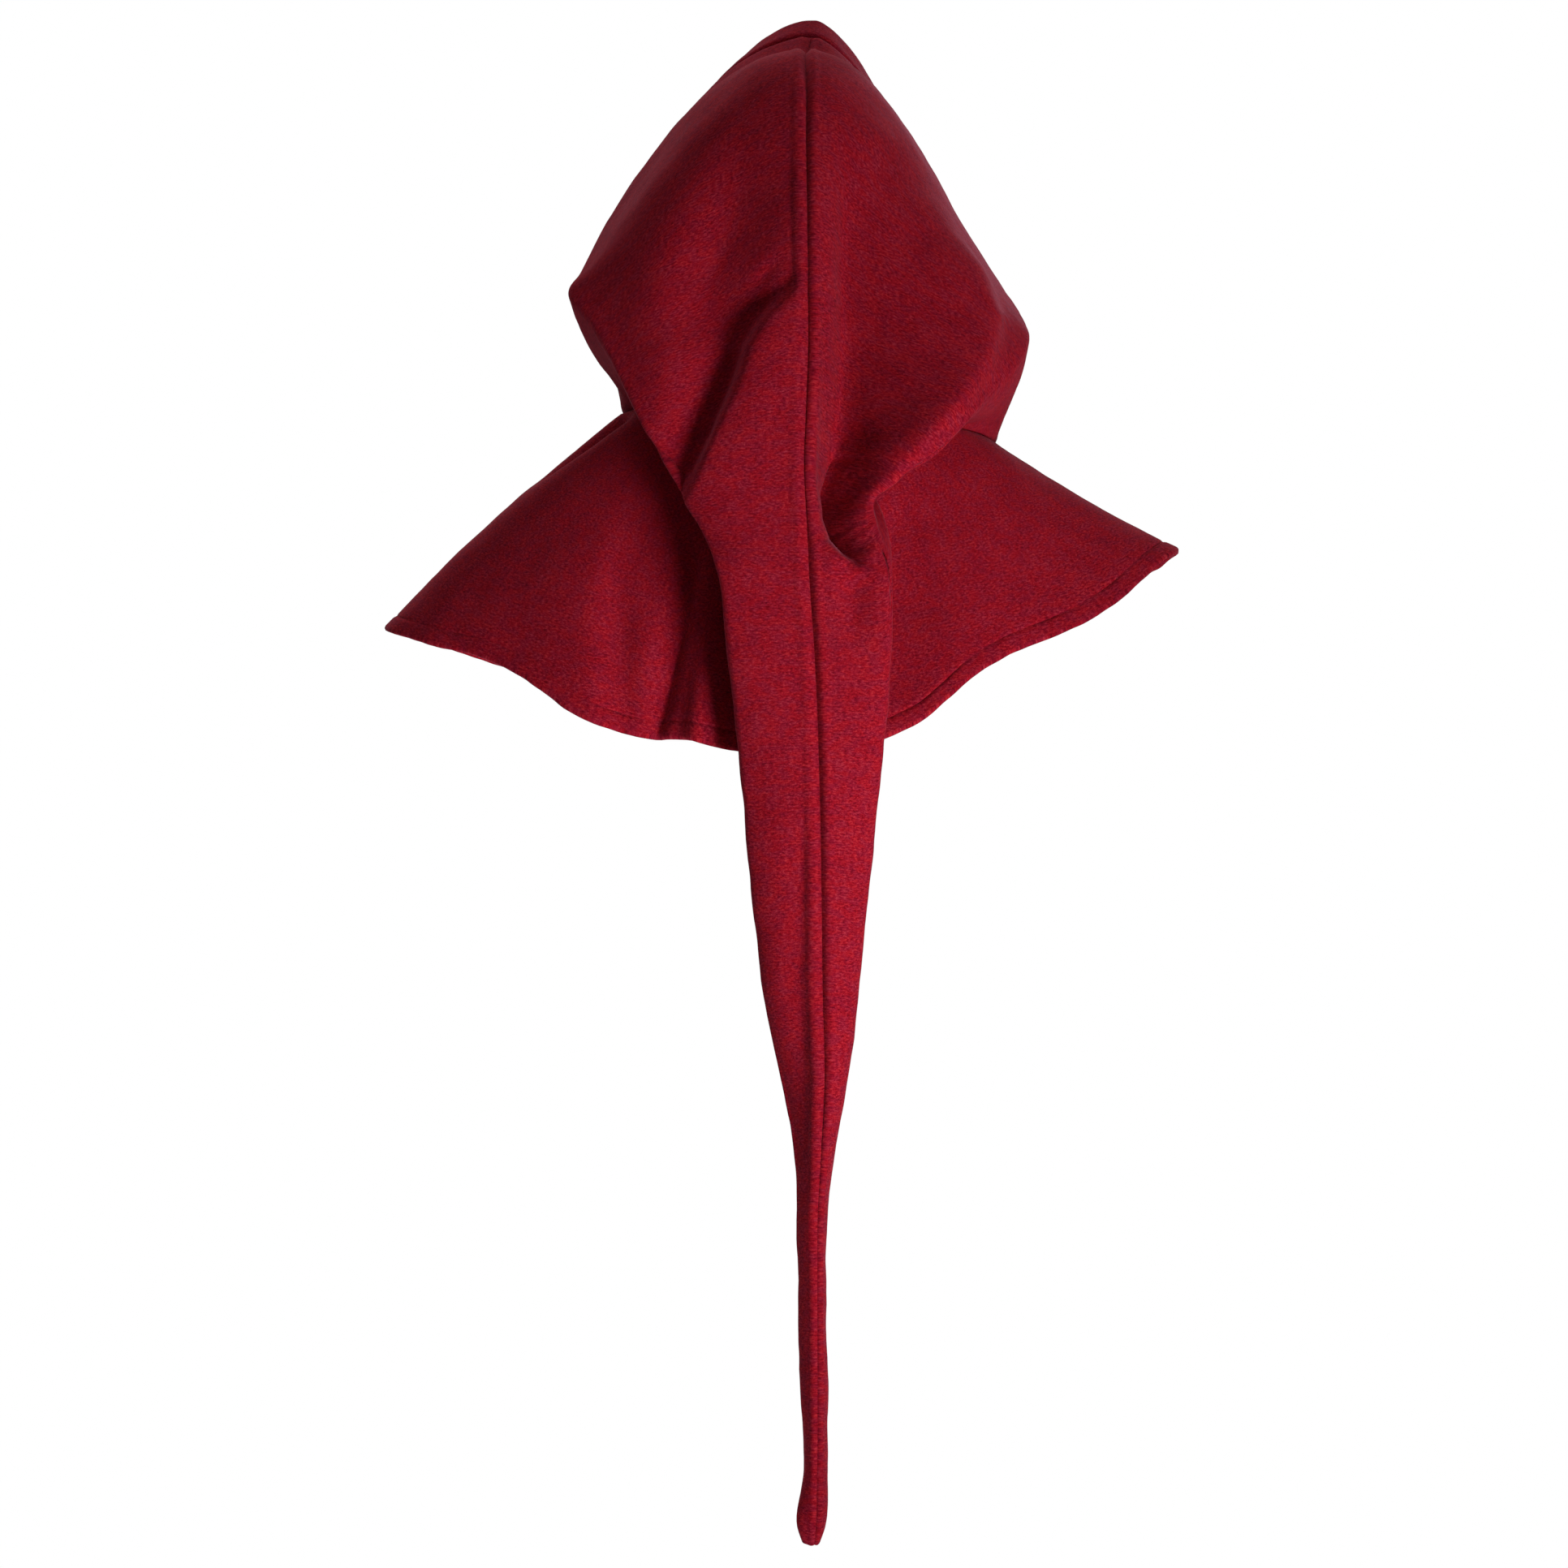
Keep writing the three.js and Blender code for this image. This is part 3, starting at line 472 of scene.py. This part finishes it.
def wall(name, points, normals, cloth, inward=None, round_edges=()):
    """A closed wall round a grid of points, in an object of its own. "cloth" is each point's place
    on the flat cloth. The edges named in round_edges (top, bottom, first, last) are rounded."""
    rows, columns = points.shape[:2]
    inward = np.full((rows, columns), WALL / 2) if inward is None else inward
    outer = points + normals * (WALL / 2)
    inner = points - normals * inward[..., None]
    away = np.zeros_like(points)
    bulge = ((WALL / 2 + inward) / 2)[..., None]
    if "top" in round_edges:
        away[0] += unit(points[0] - points[1]) * bulge[0]
    if "bottom" in round_edges:
        away[-1] += unit(points[-1] - points[-2]) * bulge[-1]
    if "first" in round_edges:
        away[:, 0] += unit(points[:, 0] - points[:, 1]) * bulge[:, 0]
    if "last" in round_edges:
        away[:, -1] += unit(points[:, -1] - points[:, -2]) * bulge[:, -1]
    i, j = perimeter(rows, columns)
    middle, half = (outer + inner)[i, j] / 2, (outer - inner)[i, j] / 2
    rings = [middle + half * math.cos(a) + away[i, j] * math.sin(a) for a in RIM_ANGLES]
    corners = np.concatenate([outer.reshape(-1, 3), inner.reshape(-1, 3), *rings])
    flat = np.concatenate([cloth.reshape(-1, 2)] * 2 + [cloth[i, j]] * len(rings))
    count = rows * columns
    index = np.arange(count).reshape(rows, columns)
    a, b, c, d = index[:-1, :-1], index[1:, :-1], index[1:, 1:], index[:-1, 1:]
    quads = [np.stack([a, b, c, d], -1), np.stack([a, d, c, b], -1) + count]
    edge = index[i, j]
    ring_index = [2 * count + len(i) * k + np.arange(len(i)) for k in range(len(rings))]
    loops = [edge, *ring_index, edge + count]
    for near, far in zip(loops, loops[1:]):
        quads.append(np.stack([near, np.roll(near, -1), np.roll(far, -1), far], -1))
    quads = np.concatenate([q.reshape(-1, 4) for q in quads])
    p = corners[quads]
    volume = (dot(p[:, 0], np.cross(p[:, 1], p[:, 2])) + dot(p[:, 0], np.cross(p[:, 2], p[:, 3]))).sum()
    if volume < 0:
        quads = quads[:, ::-1]
    return mesh_object(name, corners, quads, flat)


def mesh_object(name, corners, faces, flat=None):
    mesh = bpy.data.meshes.new(name)
    mesh.from_pydata((corners * MM).tolist(), [], faces.tolist())
    mesh.shade_smooth()
    if flat is not None:
        layer = mesh.uv_layers.new(name="cloth")
        layer.data.foreach_set("uv", (flat * MM)[faces.ravel()].ravel().astype(np.float32))
    piece = bpy.data.objects.new(name, mesh)
    bpy.context.scene.collection.objects.link(piece)
    return piece


# ---- the surface's unevenness, and where each piece lies on one flat cloth ----
CLOTH_APART = 5000
UNEVEN = [(34, 0.9), (13, 0.35), (6, 0.12)]  # size of the waves and their height
SEED_STEPS = (17.3, 5.1)  # each piece takes its waves from a place of its own


def unevenness(points, seed):
    flat = points.reshape(-1, 3)
    height = np.zeros(len(flat))
    for size, amount in UNEVEN:
        offset = Vector((seed * SEED_STEPS[0], size, seed * SEED_STEPS[1]))
        height += [amount * noise.noise(Vector(p) / size + offset) for p in flat]
    return height.reshape(points.shape[:-1])


# ---- seams ----
DITCH_DEPTH, DITCH_WIDTH, DITCH_POWER = 4.0, 3.0, 1.8
LIP_HEIGHT, LIP_START, LIP_WIDTH, LIP_FADE = 1.0, 2.0, 9.5, 3.0
RIDGE_HEIGHT, RIDGE_AT, RIDGE_WIDTH = 1.1, 5.5, 3.2
WIDE_PANEL = 2.2 * SEAM_ZONE  # a narrower panel has finer sewing,
NARROWEST = 0.35  # down to this share of its full size where the tail is a cord
SEAM_RUN_IN = 7  # how far from the band the middle seam has its full ditch
INNER_DITCH, BAND_DITCH, BAND_DITCH_WIDTH = 2.0, 2.4, 2.6
CAPE_SEAM_DITCH, NECK_DITCH = 2.2, 2.0


def ditch(distance, depth=DITCH_DEPTH, width=DITCH_WIDTH):
    return -depth * np.exp(-((distance / width) ** DITCH_POWER))


def middle_seam(name, away, widths):
    """The cloth beside the middle seam: the allowances lie to the left and lift a strip there."""
    narrow = np.clip(widths[:, :1] / WIDE_PANEL, NARROWEST, 1)
    d = away / narrow
    height = ditch(d) * narrow
    if name == "hood_left":
        fade = smoothstep(d, LIP_WIDTH - LIP_FADE, LIP_WIDTH + LIP_FADE)
        lip = smoothstep(d, 0, LIP_START) * (1 - fade)
        return height + LIP_HEIGHT * lip * narrow
    return height + RIDGE_HEIGHT * np.exp(-(((d - RIDGE_AT) / RIDGE_WIDTH) ** 2)) * narrow


# ---- the hood ----
NEAR = 1e-6


def on_neck(t):
    return (t >= TRAVEL["throat"] - NEAR) & (t <= TRAVEL["nape"] + NEAR)


def sewn_to_other_half(t):
    """Whether a row's inner end lies on the middle, in front of the throat or below the nape."""
    return (t <= TRAVEL["throat"] + NEAR) | (t >= TRAVEL["nape"] - NEAR)


def hood_half(name, side, rows):
    band = stations("rim", "band", BAND_STEP)
    parts = [stations(first, last, step) for first, last, step in ROW_STEPS]
    # The throat and the nape are rows of the grid, because the cape starts and ends on them.
    t = np.concatenate([parts[0], parts[1][1:], parts[2][1:]])
    t[np.argmin(np.abs(t - TRAVEL["throat"]))] = TRAVEL["throat"]
    t = np.concatenate([band, t])
    band_end = len(band) - 1
    curves = curves_of(rows, SIDE_COLUMNS)
    points, away, widths = hood_grid(curves, t)
    columns = np.arange(points.shape[1])
    edge_column = SEAM_COLUMNS + PANEL_COLUMNS + EDGE_COLUMNS // 2
    normals = grid_normals(points, side)
    panel = fold_height(f"{name}_panel", points, normals)
    behind = fold_height(f"{name}_side", points, normals)
    height = np.where(columns <= edge_column, panel, behind) * freedom(points, False)
    points = moved_by(points, normals, height)
    normals = grid_normals(points, side)
    sewn_inside = sewn_to_other_half(t)
    normals[:, 0] = flat_in_x(normals[:, 0])
    normals[sewn_inside, -1] = flat_in_x(normals[sewn_inside, -1])
    # sewing and unevenness
    inner_away = widths[:, 1:] - away
    past_band = (t - TRAVEL["band"])[:, None]
    seams = middle_seam(name, away, widths) * smoothstep(past_band, 0, SEAM_RUN_IN)
    seams += ditch(inner_away, INNER_DITCH) * (past_band > 0)
    seams += ditch(np.abs(past_band), BAND_DITCH, BAND_DITCH_WIDTH)
    off_seams = smoothstep(np.minimum(away, inner_away), 0, SMOOTH_FREE)
    uneven = unevenness(points, 1 if side < 0 else 2) * off_seams
    points = moved_by(points, normals, seams + uneven)
    normals = grid_normals(points, side)
    normals[:, 0] = flat_in_x(normals[:, 0])
    normals[sewn_inside, -1] = flat_in_x(normals[sewn_inside, -1])
    shared = normals[band_end + 1]
    normals[band_end] = shared
    parted = partings(points[band_end], shared, side)
    points[band_end] += parted
    points[band_end + 1] -= parted
    across = away + (0 if side < 0 else CLOTH_APART)
    cloth = np.stack([across, np.repeat(t[:, None], points.shape[1], 1)], -1)
    return {"name": name, "side": side, "points": points, "normals": normals, "t": t,
            "band_end": band_end, "cloth": cloth}


def partings(line, normals, side):
    """How far each point of a line that two pieces share moves off it, to part them."""
    square = unit(np.cross(normals, np.gradient(line, axis=0))) * side
    square[[0, -1]] = flat_in_x(square[[0, -1]])
    return square * (SEAM_GAP / 2)


# ---- the shoulder cape ----
HEM_GROOVE = {"cape_left": 0.9, "cape_right": 1.2}  # its depth
GROOVE_WIDTH = 1.5
GROOVE_SHARE = (0.1, 0.65, 1.4)  # the groove's least, usual and greatest share of its depth
HEM_SWELL, SWELL_RUN_IN = 0.4, 4  # how far the turned hem stands proud, and from where on
HEM_WAVES = [(31, 1.5), (13, 0.6)]  # size of the waves along the hem and their height
HEM_REACH = 30  # how far up from the hem the waves fade out
PULL_STEP, DOWN_STEP = 700, 300  # the groove's pull and the hem's edge use other waves
PULL_SHARE = 1.5  # divides the waves' height into a share of the groove's depth
CAPE_CLOTH = 2000  # places the capes' cloth at this and at three times this


def waves_along(places, seed):
    """Uneven waves along the hem, about 0 on average."""
    return sum(
        amount * np.array([noise.noise(Vector((x / size, size, seed))) for x in places])
        for size, amount in HEM_WAVES
    )


def cape_half(hood, rows):
    name = hood["name"].replace("hood", "cape")
    side = hood["side"]
    chosen = np.flatnonzero(on_neck(hood["t"]) & (np.arange(len(hood["t"])) > hood["band_end"]))
    t = hood["t"][chosen]
    curves = curves_of(rows, CAPE_COLUMNS)
    neck = hood["points"][chosen, -1]
    hem = stack(curves, ["hem_x", "hem_y", "hem_z"], t)
    bulge = curves["bulge"](t)
    chord = hem - neck
    size = length(chord)
    down = unit(chord)
    out = unit(np.array([0, 0, 1.0]) - down * down[:, 2:])
    even = np.linspace(0, 1, CAPE_RINGS)[:-1, None] * (size - HEM_RINGS[0])
    far = np.concatenate([even, size - np.array(HEM_RINGS)[:, None]])
    s = far / size
    points = neck + down * far[..., None] + out * (bulge * 4 * s * (1 - s))[..., None]
    normals = grid_normals(points, -side)
    height = fold_height(name, points, normals) * freedom(points, True)
    points = moved_by(points, normals, height)
    normals = grid_normals(points, -side)
    from_hem = size - far
    around = np.concatenate([[0], np.cumsum(length(np.diff(points[-1], axis=0)))])
    seam_away = np.minimum(length(points - points[:, :1]), length(points - points[:, -1:]))
    sewing = ditch(seam_away, CAPE_SEAM_DITCH) + ditch(far, NECK_DITCH)
    least, usual, greatest = GROOVE_SHARE
    uneven_pull = waves_along(around + PULL_STEP, side) / PULL_SHARE
    pull = np.clip(usual + uneven_pull, least, greatest)
    sewing -= pull * HEM_GROOVE[name] * np.exp(-(((from_hem - HEM_DEPTH) / GROOVE_WIDTH) ** 2))
    sewing += HEM_SWELL * smoothstep(HEM_DEPTH - from_hem, 0, SWELL_RUN_IN)
    loose = smoothstep(HEM_REACH - from_hem, 0, HEM_REACH) * smoothstep(seam_away, 0, HEM_REACH)
    sewing += waves_along(around, side) * loose
    points = points + down * (waves_along(around + DOWN_STEP, side) * loose)[..., None]
    off_seams = smoothstep(np.minimum(seam_away, far), 0, SMOOTH_FREE)
    uneven = unevenness(points, 3 if side < 0 else 4) * off_seams
    points = moved_by(points, normals, sewing + uneven)
    normals = grid_normals(points, -side)
    normals[:, [0, -1]] = flat_in_x(normals[:, [0, -1]])
    # the hood and the cape share their normals along the neck
    shared = unit(hood["normals"][chosen, -1] + normals[0])
    shared[[0, -1]] = flat_in_x(shared[[0, -1]])
    parted = partings(points[0], shared, side)
    hood["normals"][chosen, -1] = shared
    normals[0] = shared
    line = points[0].copy()
    hood["points"][chosen, -1] = line - parted
    points[0] = line + parted
    across = np.repeat(around[None], len(far), 0) + CAPE_CLOTH * (2 + side)
    cloth = np.stack([across, far], -1)
    thick = np.where(from_hem <= HEM_DEPTH, HEM_WALL - WALL / 2, WALL / 2)
    return {"name": name, "side": side, "points": points, "normals": normals, "cloth": cloth,
            "inward": thick}


# ---- felt ----
FELT_DARK = (0.10, 0.0012, 0.006, 1)
FELT_MIDDLE = (0.27, 0.0055, 0.0178, 1)
FELT_LIGHT = (0.44, 0.030, 0.043, 1)
FLECK_SHARE, FIBRE_SHARE, PATCH_SHARE = 0.62, 0.28, 0.10
COOL_TINT = (0.90, 1.0, 1.15, 1)
WARM_TINT = (1.08, 0.85, 0.80, 1)


def noise_of(tree, place, scale, across, along, detail, roughness):
    stretch = tree.nodes.new("ShaderNodeMapping")
    stretch.inputs["Scale"].default_value = (across, along, 1)
    tree.links.new(place, stretch.inputs["Vector"])
    texture = tree.nodes.new("ShaderNodeTexNoise")
    texture.inputs["Scale"].default_value = scale
    texture.inputs["Detail"].default_value = detail
    texture.inputs["Roughness"].default_value = roughness
    tree.links.new(stretch.outputs["Vector"], texture.inputs["Vector"])
    return texture.outputs["Fac"]


def maths(tree, operation, a, b):
    node = tree.nodes.new("ShaderNodeMath")
    node.operation = operation
    for socket, value in zip(node.inputs, (a, b)):
        if isinstance(value, (int, float)):
            socket.default_value = value
        else:
            tree.links.new(value, socket)
    return node.outputs[0]


def ramp_of(tree, factor, *stops):
    """A colour that runs through the stops, each a place on the factor and a colour."""
    ramp = tree.nodes.new("ShaderNodeValToRGB")
    (first, start), *middle, (last, end) = stops
    ramp.color_ramp.elements[0].position = first
    ramp.color_ramp.elements[0].color = start
    ramp.color_ramp.elements[1].position = last
    ramp.color_ramp.elements[1].color = end
    for place, colour in middle:
        ramp.color_ramp.elements.new(place).color = colour
    tree.links.new(factor, ramp.inputs["Fac"])
    return ramp.outputs["Color"]


def felt():
    """Felt of dark and light fibres. The mix of fibres also gives the height of its nap."""
    material = bpy.data.materials.new("wool_felt")
    material.use_nodes = True
    tree = material.node_tree
    shader = tree.nodes["Principled BSDF"]
    place = tree.nodes.new("ShaderNodeUVMap")
    place.uv_map = "cloth"
    place = place.outputs["UV"]
    flecks = noise_of(tree, place, scale=620, across=0.55, along=1.25, detail=3, roughness=0.7)
    fibres = noise_of(tree, place, scale=1500, across=0.6, along=1.3, detail=2, roughness=0.6)
    patches = noise_of(tree, place, scale=42, across=1, along=1, detail=3, roughness=0.55)
    mix = maths(tree, "MULTIPLY", flecks, FLECK_SHARE)
    mix = maths(tree, "ADD", mix, maths(tree, "MULTIPLY", fibres, FIBRE_SHARE))
    mix = maths(tree, "ADD", mix, maths(tree, "MULTIPLY", patches, PATCH_SHARE))
    fibre = ramp_of(tree, mix, (0.36, FELT_DARK), (0.5, FELT_MIDDLE), (0.64, FELT_LIGHT))
    shade = noise_of(tree, place, scale=150, across=0.7, along=1.2, detail=2, roughness=0.5)
    tint = ramp_of(tree, shade, (0.40, COOL_TINT), (0.60, WARM_TINT))
    both = tree.nodes.new("ShaderNodeMix")
    both.data_type = "RGBA"
    both.blend_type = "MULTIPLY"
    both.inputs["Factor"].default_value = 1.0
    tree.links.new(fibre, both.inputs["A"])
    tree.links.new(tint, both.inputs["B"])
    tree.links.new(both.outputs["Result"], shader.inputs["Base Color"])
    bump = tree.nodes.new("ShaderNodeBump")
    bump.inputs["Strength"].default_value = 0.55
    bump.inputs["Distance"].default_value = 0.0007
    tree.links.new(mix, bump.inputs["Height"])
    tree.links.new(bump.outputs["Normal"], shader.inputs["Normal"])
    shader.inputs["Roughness"].default_value = 0.92
    shader.inputs["Specular IOR Level"].default_value = 0.03
    shader.inputs["Sheen Weight"].default_value = 0.13
    shader.inputs["Sheen Roughness"].default_value = 0.35
    shader.inputs["Sheen Tint"].default_value = (1.0, 0.42, 0.6, 1)
    return material


FELT = felt()

# How each piece was cut before it was sewn: width, length and area of its flat cloth.
CUTS = {
    "hood_left": (0.36, 1.25, 0.180, "draped", ["cape_left"]),
    "hood_right": (0.34, 1.25, 0.168, "draped", ["cape_right"]),
    "face_band": (0.70, 0.03, 0.0188, "stretched", ["hood_left", "hood_right"]),
    "cape_left": (0.62, 0.26, 0.132, "draped", ["hood_left"]),
    "cape_right": (0.55, 0.24, 0.0995, "draped", ["hood_right"]),
}


def dress(piece, node):
    piece.data.materials.append(FELT)
    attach(piece, "root")
    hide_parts(node)
    width, size, area, held, carriers = CUTS[node]
    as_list(carriers)


# ---- camera, light and stage ----
def add_camera():
    data = bpy.data.cameras.new("camera")
    data.sensor_width = 36
    data.lens = data.sensor_width / 2 * CAMERA_DISTANCE / PICTURE_HALF_WIDTH
    camera = bpy.data.objects.new("camera", data)
    camera.location = (PICTURE_MIDDLE[0], -CAMERA_DISTANCE, PICTURE_MIDDLE[1])
    camera.rotation_euler = (math.pi / 2, 0, 0)
    bpy.context.scene.collection.objects.link(camera)
    bpy.context.scene.camera = camera


SOFTBOXES = [
    # name, place, aim, size, power, spread in degrees
    ("key_upper", (0.98, -1.55, -0.88), (-0.11, -0.16, 0.20), (0.55, 0.55), 1.6, 40),
    ("key_lower", (0.88, -1.61, -0.96), (-0.03, -0.18, -0.48), (0.55, 0.55), 1.8, 40),
]


def add_softbox(name, place, aim, size, power, spread):
    data = bpy.data.lights.new(name, "AREA")
    data.shape = "RECTANGLE"
    data.size, data.size_y = size
    data.energy = power
    data.spread = math.radians(spread)
    light = bpy.data.objects.new(name, data)
    light.location = place
    light.visible_camera = False
    light.rotation_euler = (Vector(aim) - Vector(place)).to_track_quat("-Z", "Y").to_euler()
    bpy.context.scene.collection.objects.link(light)


def add_world():
    """A white studio that lights the garment from its far side and from above."""
    world = bpy.data.worlds.new("studio")
    bpy.context.scene.world = world
    world.use_nodes = True
    tree = world.node_tree
    tree.nodes.clear()
    output = tree.nodes.new("ShaderNodeOutputWorld")
    seen = tree.nodes.new("ShaderNodeBackground")
    seen.inputs["Strength"].default_value = 1.0
    seen.inputs["Color"].default_value = (1, 1, 1, 1)
    lit = tree.nodes.new("ShaderNodeBackground")
    place = tree.nodes.new("ShaderNodeTexCoord")
    split = tree.nodes.new("ShaderNodeSeparateXYZ")
    tree.links.new(place.outputs["Generated"], split.inputs[0])
    height = maths(tree, "MULTIPLY", split.outputs["Z"], 1.3)
    beyond = maths(tree, "ADD", split.outputs["Y"], height)
    ramp = tree.nodes.new("ShaderNodeMapRange")
    ramp.inputs["From Min"].default_value = 0.46
    ramp.inputs["From Max"].default_value = 1.2
    ramp.inputs["To Min"].default_value = 0.008
    ramp.inputs["To Max"].default_value = 1.5
    tree.links.new(beyond, ramp.inputs["Value"])
    tree.links.new(ramp.outputs["Result"], lit.inputs["Strength"])
    ray = tree.nodes.new("ShaderNodeLightPath")
    mix = tree.nodes.new("ShaderNodeMixShader")
    tree.links.new(ray.outputs["Is Camera Ray"], mix.inputs["Fac"])
    tree.links.new(lit.outputs[0], mix.inputs[1])
    tree.links.new(seen.outputs[0], mix.inputs[2])
    tree.links.new(mix.outputs[0], output.inputs["Surface"])


def add_floor():
    height, radius, sides = -1450, 2400, 96
    angles = np.arange(sides) * 2 * math.pi / sides
    corners = np.stack([radius * np.cos(angles), radius * np.sin(angles), np.full(sides, height)], -1)
    floor = mesh_object("floor", corners, np.arange(sides)[None])
    material = bpy.data.materials.new("floor")
    material.use_nodes = True
    shader = material.node_tree.nodes["Principled BSDF"]
    shader.inputs["Base Color"].default_value = (0.85, 0.85, 0.85, 1)
    shader.inputs["Roughness"].default_value = 0.9
    floor.data.materials.append(material)


add_camera()
add_world()
add_floor()
bpy.context.scene.view_settings.view_transform = "Standard"
for softbox in SOFTBOXES:
    add_softbox(*softbox)

# ---- the pieces ----
halves = []
for hood_name, side, sections, cape_rows in (
    ("hood_left", -1, LEFT_SECTIONS, LEFT_CAPE),
    ("hood_right", 1, RIGHT_SECTIONS, RIGHT_CAPE),
):
    hood = hood_half(hood_name, side, sections)
    halves.append((hood, cape_half(hood, cape_rows)))

for hood, cape in halves:
    first = hood["band_end"] + 1
    points, normals, t = hood["points"][first:].copy(), hood["normals"][first:], hood["t"][first:]
    middle = sewn_to_other_half(t)
    points[:, 0, 0] += hood["side"] * SEAM_GAP / 2
    points[middle, -1, 0] += hood["side"] * SEAM_GAP / 2
    name = hood["name"] + "_felt"
    piece = wall(name, points, normals, hood["cloth"][first:], round_edges=("bottom",))
    dress(piece, hood["name"])
    points = cape["points"].copy()
    points[:, [0, -1], 0] += cape["side"] * SEAM_GAP / 2
    name = cape["name"] + "_felt"
    piece = wall(name, points, cape["normals"], cape["cloth"], cape["inward"], ("bottom",))
    dress(piece, cape["name"])

left, right = halves[0][0], halves[1][0]
rows = slice(0, left["band_end"] + 1)


def join(key):
    """The rows of both halves as one, from the left's inner end to the right's."""
    return np.concatenate([left[key][rows, :0:-1], right[key][rows]], 1)


points = join("points")
points[:, 0, 0] -= SEAM_GAP / 2
points[:, -1, 0] += SEAM_GAP / 2
dress(wall("face_band_felt", points, join("normals"), join("cloth"), round_edges=("top",)), "face_band")
